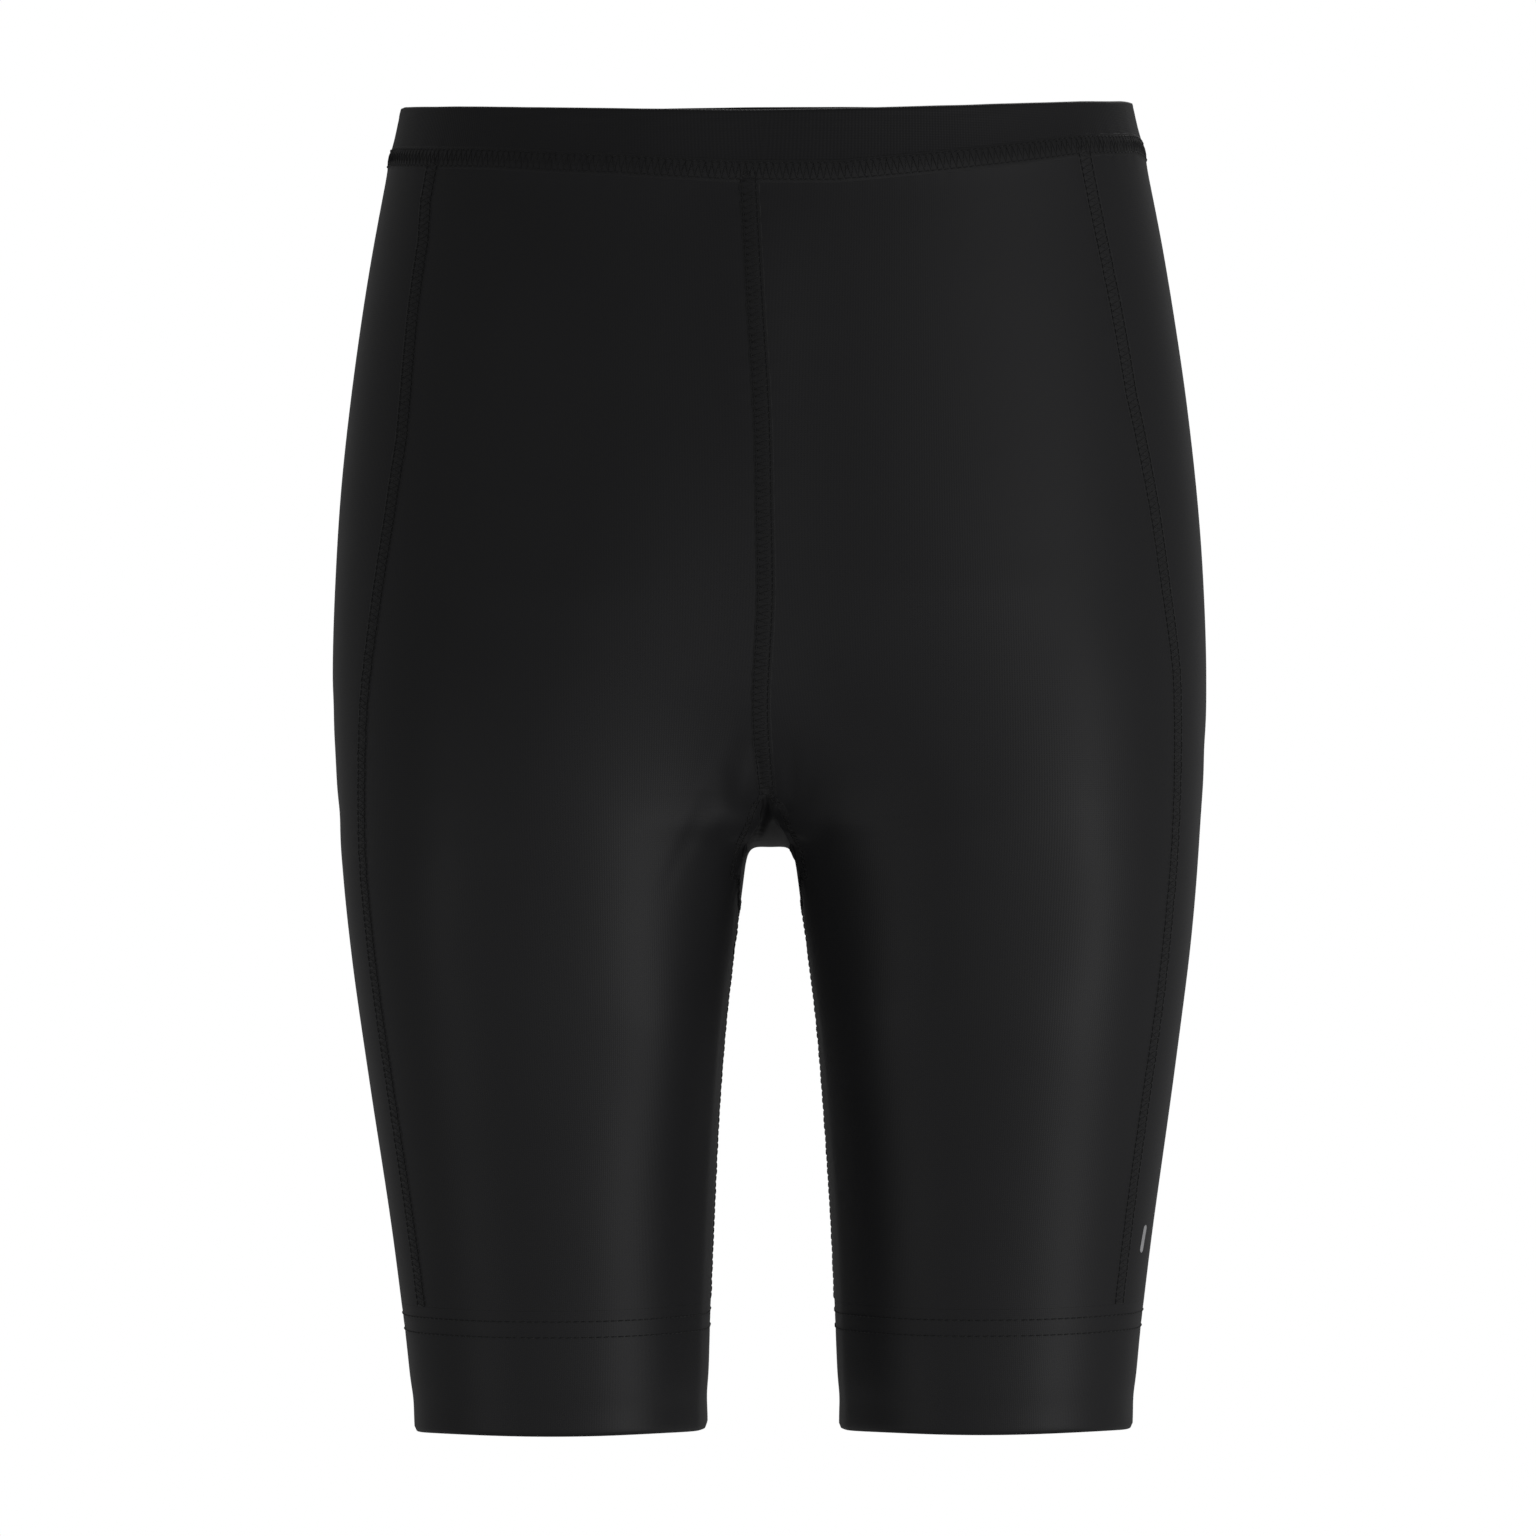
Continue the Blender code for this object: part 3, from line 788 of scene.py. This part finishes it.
def jerseyFinish():
    material, nodes, shader = startFinish("stretch_jersey", jerseyLook["steady"])
    around, up = nodes.grain("grain")
    column = around * (1 / jerseyLook["wale"])
    knit = 0.5 * column.wave() + 0.35 * (up * (1 / jerseyLook["course"]) + column.zigzag() * 0.5).wave()
    fibre, patches = nodes.clouds(0.0006, 3.0), nodes.clouds(0.055)
    tone = 0.55 * patches + 0.30 * fibre + 0.05 * knit
    nodes.fill(shader, {
        "Base Color": nodes.blend(tone, jerseyLook["dark"], jerseyLook["light"]),
        "Roughness": jerseyLook["roughness"] + jerseyLook["uneven"] * (patches - 0.5) + 0.06 * fibre,
        "Normal": nodes.bump(knit + 0.8 * fibre, jerseyLook["bump"], jerseyLook["depth"]),
    })
    return material


bandLook = {
    "dark": (0.0085, 0.0085, 0.0095), "light": (0.0130, 0.0130, 0.0140),
    "roughness": 0.60, "rib": 0.0012, "row": 0.0010, "bump": 0.35, "depth": 0.00012,
    "steady": {"Specular IOR Level": 0.22, "Sheen Weight": 0.06, "Sheen Roughness": 0.5},
}


def bandFinish():
    material, nodes, shader = startFinish("doubled_jersey", bandLook["steady"])
    around, up = nodes.grain("grain")
    ribs = (around * (1 / bandLook["rib"])).wave() * 0.6 + (up * (1 / bandLook["row"])).wave() * 0.25
    fibre, patches = nodes.clouds(0.0007, 3.0), nodes.clouds(0.03)
    nodes.fill(shader, {
        "Base Color": nodes.blend(0.6 * patches + 0.3 * fibre, bandLook["dark"], bandLook["light"]),
        "Roughness": bandLook["roughness"] + 0.10 * (patches - 0.5),
        "Normal": nodes.bump(ribs + 0.8 * fibre, bandLook["bump"], bandLook["depth"]),
    })
    return material


threadLook = {
    "dark": (0.0088, 0.0088, 0.0094), "light": (0.0145, 0.0145, 0.0155),
    "roughness": 0.56, "twist": 0.00045, "bump": 0.4, "depth": 0.00008,
    "steady": {"Specular IOR Level": 0.23, "Sheen Weight": 0.06, "Sheen Roughness": 0.5},
}


def threadFinish():
    material, nodes, shader = startFinish("overlock_thread", threadLook["steady"])
    along, across = nodes.grain("thread")
    twist = ((along + across * 0.6) * (1 / threadLook["twist"])).wave()
    fibre, patches = nodes.clouds(0.0004, 2.0), nodes.clouds(0.012)
    nodes.fill(shader, {
        "Base Color": nodes.blend(0.35 + 0.25 * twist + 0.3 * patches, threadLook["dark"], threadLook["light"]),
        "Roughness": threadLook["roughness"] + 0.12 * (fibre - 0.5),
        "Normal": nodes.bump(twist + 0.7 * fibre, threadLook["bump"], threadLook["depth"]),
    })
    return material


markLook = {"dark": (0.30, 0.30, 0.31), "light": (0.52, 0.52, 0.53), "roughness": 0.38, "bead": 0.0003}


def reflectiveFinish():
    material, nodes, shader = startFinish("reflective_film", {"Specular IOR Level": 0.6})
    beads = nodes.clouds(markLook["bead"], 1.0)
    wear = nodes.clouds(0.004)
    nodes.fill(shader, {
        "Base Color": nodes.blend(0.5 * beads + 0.5 * wear, markLook["dark"], markLook["light"]),
        "Roughness": markLook["roughness"] + 0.2 * wear,
        "Normal": nodes.bump(beads, 0.3, 0.00005),
    })
    return material


finishes = {"jersey": jerseyFinish(), "waistband_jersey": bandFinish(), "thread": threadFinish(),
            "reflective_trim": reflectiveFinish()}
print("finishes:", len(finishes))


# meshes

def addPiece(name, spots, faces, slot, layer, pairs):
    # pairs holds two numbers a point, such as how far round and how high, for the finish's grain
    mesh = bpy.data.meshes.new(name)
    mesh.from_pydata([tuple(p * metre) for p in spots], [], faces)
    mesh.shade_smooth()
    mesh.materials.append(finishes[slot])
    corner = np.zeros(len(mesh.loops), int)
    mesh.loops.foreach_get("vertex_index", corner)
    starts = np.zeros(len(mesh.polygons), int)
    mesh.polygons.foreach_get("loop_start", starts)
    values = pairs[corner].copy()
    turns, whole = values[:, 0], 2 * math.pi * grainRadius
    widths = np.diff(np.append(starts, len(corner)))
    spread = np.repeat(np.maximum.reduceat(turns, starts) - np.minimum.reduceat(turns, starts), widths)
    values[(spread > whole / 2) & (turns < 0), 0] += whole
    mesh.uv_layers.new(name=layer).data.foreach_set("uv", values.ravel())
    piece = bpy.data.objects.new(name, mesh)
    bpy.context.scene.collection.objects.link(piece)
    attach(piece, "root")
    return piece


grainRadius = 0.1


def grainPairs(name, spots):
    if name == "gusset":
        return spots[:, :2] * metre
    turn = np.arctan2(spots[:, 1], abs(spots[:, 0]) - 60)
    return np.stack([turn * grainRadius, spots[:, 2] * metre], axis=1)


# Each piece of cloth: its wall, and its flat cut (width, length and area) in metres before it was stretched.
clothLook = {
    "seamGap": 0.04,
    "wall": {"front": 0.8, "side": 0.8, "back": 0.8, "gusset": 0.9, "hem": 1.4, "waistband": 2.4},
    "cut": {"front": (0.229, 0.47, 0.072), "side": (0.111, 0.46, 0.0458), "back": (0.245, 0.485, 0.082),
            "gusset": (0.06, 0.175, 0.0078), "hem": (0.36, 0.052, 0.0187), "waistband": (0.72, 0.022, 0.0158)},
}


rimPoints = {k for edge in rimEdges for k in edge}
openRim = treeOf(cloth[sorted(rimPoints)])


def clothPiece(name):
    kind = name.split("_")[0]
    wall = clothLook["wall"][kind]
    own, ownCoarse = fine[fineMarks == names.index(name)], coarse[coarseMarks == names.index(name)]
    directed = {(face[k], face[(k + 1) % 4]) for face in own.tolist() for k in range(4)}
    edges = [(a, b) for a, b in directed if (b, a) not in directed]
    after = dict(edges)
    inward = {}
    for a, b in edges:
        for k in (a, b):
            way = np.cross(normals[k], cloth[b] - cloth[a])
            inward.setdefault(k, []).append(way / np.linalg.norm(way))
    moved = cloth.copy()
    for k, ways in inward.items():
        way = sum(ways)
        way /= np.linalg.norm(way)
        moved[k] += way * (clothLook["seamGap"] / 2) / max(0.5, float(way @ ways[0]))
    # both faces curve together at an open edge, so that it ends round
    used = np.unique(own)
    half = wall / 2
    toRim = np.array([openRim.find(cloth[k])[2] for k in used])
    roll = half - np.sqrt(np.maximum(half**2 - np.maximum(half - toRim, 0) ** 2, 0))
    roll = np.minimum(roll, half - 0.06)
    inside = np.unique(ownCoarse)
    outer = {k: n for n, k in enumerate(used.tolist())}
    inner = {k: n + len(used) for n, k in enumerate(inside.tolist())}
    rollOf = dict(zip(used.tolist(), roll))
    spots = np.concatenate([
        moved[used] - normals[used] * roll[:, None],
        moved[inside] - normals[inside] * (wall - np.array([rollOf[k] for k in inside.tolist()]))[:, None],
    ])
    faces = [tuple(outer[k] for k in face) for face in own.tolist()]
    faces += [tuple(inner[k] for k in reversed(face)) for face in ownCoarse.tolist()]
    for a in [k for k in after if k in inner]:
        middle = after[a]
        b = after[middle]
        faces += [(outer[middle], outer[a], inner[a]), (outer[middle], inner[a], inner[b]),
                  (outer[b], outer[middle], inner[b])]
    slot = "waistband_jersey" if kind == "waistband" else "jersey"
    piece = addPiece(name + "_cloth", spots, faces, slot, "grain", grainPairs(name, spots))
    # the outer face keeps its own shading up to a seam, and rolls over an open edge
    ends = np.zeros(len(piece.data.edges) * 2, int)
    piece.data.edges.foreach_get("vertices", ends)
    seams = {(outer[a], outer[b]) for a, b in edges if not {a, b} <= rimPoints}
    sharp = [(a, b) in seams or (b, a) in seams for a, b in ends.reshape(-1, 2).tolist()]
    piece.data.edges.foreach_set("use_edge_sharp", sharp)
    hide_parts(name)
    return piece


for name in names:
    clothPiece(name)
print("cloth pieces:", len(names))


# Flat seams: a low band of looper thread with a row of needle stitches near each edge.
seamLook = {
    "step": 1.3, "sink": 0.25, "edge": 0.04, "soften": 3,
    "rise": {"centre": 0.30, "side": 0.26, "inseam": 0.20, "gusset": 0.12, "waist": 0.30},
    "halfWidth": {"centre": 4.1, "side": 4.4, "inseam": 3.0, "gusset": 1.9, "waist": 4.8},
    "across": (-1, -0.86, -0.68, -0.35, 0, 0.35, 0.68, 0.86, 1), "groove": 0.10, "grooveReach": 0.12,
    "insideAcross": (-1, -0.6, 0, 0.6, 1), "insideShare": 0.85,
    "pitch": 2.6, "rows": (-0.68, 0.68), "thread": 0.18,
}


def evenly(line, step, closed):
    run = runningLength(line)
    count = max(2, round(run[-1] / step))
    wanted = np.linspace(0, run[-1], count + 1)
    spots = np.stack([np.interp(wanted, run, line[:, k]) for k in range(3)], axis=1)
    return spots[:-1] if closed else spots


class Track:
    # a line on the cloth, with the way across it, to lay thread and bands along
    def __init__(self, line, closed, step):
        self.closed = closed
        self.spots = evenly(line, step, closed)
        if closed:
            ahead = np.roll(self.spots, -1, axis=0) - np.roll(self.spots, 1, axis=0)
        else:
            ahead = np.gradient(self.spots, axis=0)
        ahead /= np.linalg.norm(ahead, axis=1)[:, None]
        facing = np.array([tuple(clothTree.find_nearest(tuple(p))[1]) for p in self.spots])
        self.across = np.cross(ahead, facing)
        self.across /= np.linalg.norm(self.across, axis=1)[:, None]
        gaps = np.linalg.norm(np.diff(self.spots, axis=0), axis=1)
        self.run = np.concatenate([[0], np.cumsum(gaps)])
        self.length = self.run[-1] + (gaps[0] if closed else 0)

    def on(self, spot, height):
        # the cloth's nearest point, lifted along its normal
        place, facing, _, _ = clothTree.find_nearest(tuple(spot))
        return np.array(place) + np.array(facing) * height

    def softened(self, rings):
        # takes out the small jogs where the cloth's nearest point jumps
        for _ in range(seamLook["soften"]):
            if self.closed:
                rings = (np.roll(rings, 1, axis=0) + 2 * rings + np.roll(rings, -1, axis=0)) / 4
            else:
                rings[1:-1] = (rings[:-2] + 2 * rings[1:-1] + rings[2:]) / 4
        return rings

    def at(self, run, sideways, height):
        k = np.interp(run, self.run, np.arange(len(self.run)))
        low = int(k)
        high = (low + 1) % len(self.run) if self.closed else min(low + 1, len(self.run) - 1)
        share = k - low
        spot = self.spots[low] * (1 - share) + self.spots[high] * share
        across = self.across[low] * (1 - share) + self.across[high] * share
        return self.on(spot + across * sideways, height)


class Sewing:
    # gathers the bands and threads of one seam in a single mesh
    def __init__(self):
        self.spots, self.faces, self.pairs = [], [], []

    def rings(self, rings, pairs, closed):
        start, size = len(self.spots), len(rings[0])
        for ring, pair in zip(rings, pairs):
            self.spots += ring
            self.pairs += pair
        count = len(rings)
        for n in range(count if closed else count - 1):
            one, two = start + n * size, start + (n + 1) % count * size
            for k in range(size):
                after = (k + 1) % size
                self.faces.append((one + k, one + after, two + after, two + k))
        if not closed:
            self.faces.append(tuple(start + k for k in reversed(range(size))))
            self.faces.append(tuple(start + (count - 1) * size + k for k in range(size)))

    def band(self, track, halfWidth, rise, across, inward):
        # a closed low band; inward is the depth of the cloth's other face for a band inside the shorts
        profile = []
        for u in across:
            grooves = sum(math.exp(-(((u - row) / seamLook["grooveReach"]) ** 2)) for row in seamLook["rows"])
            profile.append((u, rise * (1 - u**4) - seamLook["edge"] - seamLook["groove"] * grooves))
        profile += [(across[-1], -seamLook["sink"]), (across[0], -seamLook["sink"])]
        if inward is not None:
            profile = [(u, -inward - height) for u, height in reversed(profile)]
        rings = track.softened(np.array([
            [track.on(spot + side * u * halfWidth, height) for u, height in profile]
            for spot, side in zip(track.spots, track.across)
        ]))
        pairs = [[(run * metre, u * halfWidth * metre) for u, _ in profile] for run in track.run]
        self.rings([list(ring) for ring in rings], pairs, track.closed)

    def thread(self, line, thickness, sides=4):
        # one stitch: a short run of thread that dives in at both ends
        line = np.array(line)
        ahead = np.gradient(line, axis=0)
        ahead /= np.linalg.norm(ahead, axis=1)[:, None]
        up = np.cross(ahead, (0.31, 0.17, 0.94))
        up /= np.linalg.norm(up, axis=1)[:, None]
        out = np.cross(ahead, up)
        run = runningLength(line)
        rings, pairs = [], []
        for k, spot in enumerate(line):
            size = thickness * (0.45 if k in (0, len(line) - 1) else 1)
            turns = [2 * math.pi * n / sides for n in range(sides)]
            rings.append([spot + size * (up[k] * math.cos(t) + out[k] * math.sin(t)) for t in turns])
            pairs.append([(run[k] * metre, size * n * metre) for n in range(sides)])
        self.rings(rings, pairs, False)

    def stitchRow(self, track, sideways, height, pitch, thickness):
        count = round(track.length / pitch)
        for n in range(count):
            start = track.length * n / count
            length = track.length / count
            line = []
            for share, lift in ((0.04, -0.22), (0.22, 0.10), (0.5, 0.16), (0.78, 0.10), (0.96, -0.22)):
                line.append(track.at(start + length * share, sideways, height + lift))
            self.thread(line, thickness)

    def zigzag(self, track, width, height, pitch, thickness):
        count = round(track.length / pitch)
        for n in range(count):
            start, length = track.length * n / count, track.length / count
            for way in (1, -1):
                half = start + (0 if way > 0 else length / 2)
                line = []
                for share, lift in ((0, -0.10), (0.33, 0.06), (0.67, 0.06), (1, -0.10)):
                    line.append(track.at(half + length / 2 * share, way * width * (2 * share - 1), height + lift))
                self.thread(line, thickness, 3)

    def piece(self, name):
        return addPiece(name, np.array(self.spots), self.faces, "thread", "thread", np.array(self.pairs))


def flatSeam(name):
    waist = name == "waist"
    halfWidth = seamLook["halfWidth"][name.split("_")[0]]
    rise = seamLook["rise"][name.split("_")[0]]
    track = Track(cloth[seamLines[name]], waist, seamLook["step"])
    sewing = Sewing()
    sewing.band(track, halfWidth, rise, seamLook["across"], None)
    wall = clothLook["wall"]["waistband"] if waist else clothLook["wall"]["front"]
    sewing.band(track, halfWidth * seamLook["insideShare"], rise, seamLook["insideAcross"], wall)
    for row in seamLook["rows"]:
        sewing.stitchRow(track, row * halfWidth, rise * 0.72, seamLook["pitch"], seamLook["thread"])
    sewing.zigzag(track, halfWidth * 0.62, rise * 0.94, seamLook["pitch"], seamLook["thread"] * 0.8)
    return sewing.piece("seam_" + name)


for name in seamLines:
    if not name.startswith("hem"):
        flatSeam(name)
print("flat seams:", len(seamLines) - 2)


# Two needle rows round each leg band.
hemStitchLook = {"pitch": 3.0, "thread": 0.22, "step": 1.5}


def hemStitches(side):
    seam = Track(cloth[seamLines["hem_" + side]], True, 2.0)
    sewing = Sewing()
    downward = 1 if seam.across[0][2] < 0 else -1
    for row in hemLook["rows"]:
        line = np.array([seam.on(spot + across * downward * row, 0) for spot, across in zip(seam.spots, seam.across)])
        track = Track(np.concatenate([line, line[:1]]), True, hemStitchLook["step"])
        sewing.stitchRow(track, 0, 0.06, hemStitchLook["pitch"], hemStitchLook["thread"])
    return sewing.piece("hem_stitches_" + side)


for side in ("left", "right"):
    hemStitches(side)
print("hem stitches done")


# A small plain reflective bar low on the wearer's left side panel.
barLook = {"y": -34, "z": -441, "width": 4.0, "height": 11.0, "corner": 1.4, "lift": 0.14, "lean": 8}


def reflectiveBar():
    start = clothTree.ray_cast((400, barLook["y"], barLook["z"]), (-1, 0, 0))
    middle, facing = np.array(start[0]), np.array(start[1])
    up = np.cross(np.cross(facing, (0, 0, 1)), facing)
    up /= np.linalg.norm(up)
    aside = np.cross(up, facing)
    lean = math.radians(barLook["lean"])
    up, aside = up * math.cos(lean) + aside * math.sin(lean), aside * math.cos(lean) - up * math.sin(lean)
    radius = barLook["corner"]
    rows = 14
    rings, pairs = [], []
    for n in range(rows + 1):
        v = barLook["height"] * (n / rows - 0.5)
        over = max(0.0, abs(v) - (barLook["height"] / 2 - radius))
        half = barLook["width"] / 2 - radius + math.sqrt(max(radius**2 - over**2, 0.01))
        ring, pair = [], []
        for u, lift in [(k / 4, barLook["lift"]) for k in range(-4, 5)] + [(1, 0.02), (-1, 0.02)]:
            place, outward, _, _ = clothTree.find_nearest(tuple(middle + up * v + aside * u * half))
            ring.append(np.array(place) + np.array(outward) * lift)
            pair.append((u * half * metre, v * metre))
        rings.append(ring)
        pairs.append(pair)
    film = Sewing()
    film.rings(rings, pairs, False)
    spots, pairs = np.array(film.spots), np.array(film.pairs)
    return addPiece("reflective_bar", spots, film.faces, "reflective_trim", "film", pairs)


reflectiveBar()
print("reflective bar done")


# floor and light

stageLook = {
    "floorZ": -1.6, "floorRadius": 3.4, "floor": (0.90, 0.90, 0.90),
    "overhead": 3.8,    # the sun lamp over the floor, which falls on the floor alone
    "backdrop": 1.0, "air": 0.195,    # brightness of the backdrop, and of the light that it sends
    # name, place, aim, size, power in watts
    "lights": [
        ("key", (1.8, -1.4, -0.35), (0.06, 0, -0.30), 1.0, 11.5),
        ("low", (1.7, -1.1, -1.15), (0.06, 0, -0.40), 1.0, 7.0),
        ("fill", (-2.0, -1.4, -0.95), (0, 0, -0.40), 1.0, 5.6),
        ("front", (0.1, -2.6, -0.9), (0, 0, -0.35), 1.2, 3.6),
        ("back", (0.5, 1.7, 1.5), (0, 0, -0.2), 1.2, 12.0),
    ],
}


def setStage():
    rim = [(math.cos(t) * stageLook["floorRadius"], math.sin(t) * stageLook["floorRadius"], stageLook["floorZ"])
           for t in np.linspace(0, 2 * math.pi, 97)[:-1]]
    mesh = bpy.data.meshes.new("floor")
    mesh.from_pydata([tuple(p) for p in rim], [], [tuple(range(len(rim)))])
    floor = bpy.data.objects.new("floor", mesh)
    bpy.context.scene.collection.objects.link(floor)
    floor.visible_diffuse = floor.visible_glossy = False    # it throws no light up at the shorts
    material, nodes, shader = startFinish("pale_floor", {"Roughness": 0.8, "Specular IOR Level": 0.2})
    light = tuple(min(1, c * 1.03) for c in stageLook["floor"])
    nodes.fill(shader, {"Base Color": nodes.blend(nodes.clouds(0.6), stageLook["floor"], light)})
    mesh.materials.append(material)
    for name, place, aim, size, power in stageLook["lights"]:
        lamp = bpy.data.lights.new(name, "AREA")
        lamp.energy, lamp.size = power, size
        light = bpy.data.objects.new(name, lamp)
        light.location = place
        light.rotation_euler = (Vector(aim) - Vector(place)).to_track_quat("-Z", "Y").to_euler()
        light.visible_camera = False
        bpy.context.scene.collection.objects.link(light)
    lamp = bpy.data.lights.new("overhead", "SUN")
    lamp.energy, lamp.angle = stageLook["overhead"], math.radians(50)
    overhead = bpy.data.objects.new("overhead", lamp)
    bpy.context.scene.collection.objects.link(overhead)
    floorOnly = bpy.data.collections.new("floorOnly")
    floorOnly.objects.link(floor)
    overhead.light_linking.receiver_collection = floorOnly
    world = bpy.data.worlds.new("studio")
    world.use_nodes = True
    nodes = Nodes(world.node_tree)
    seen = nodes.add("ShaderNodeBackground", {}, {"Color": (1, 1, 1, 1), "Strength": stageLook["backdrop"]})
    sent = nodes.add("ShaderNodeBackground", {}, {"Color": (1, 1, 1, 1), "Strength": stageLook["air"]})
    direct = nodes.add("ShaderNodeLightPath", {}, {})
    both = nodes.add("ShaderNodeMixShader", {}, {0: direct, 1: sent, 2: seen})
    nodes.fill(world.node_tree.nodes["World Output"], {"Surface": both})
    bpy.context.scene.world = world
    bpy.context.scene.view_settings.view_transform = "Standard"


setStage()
print("stage set")
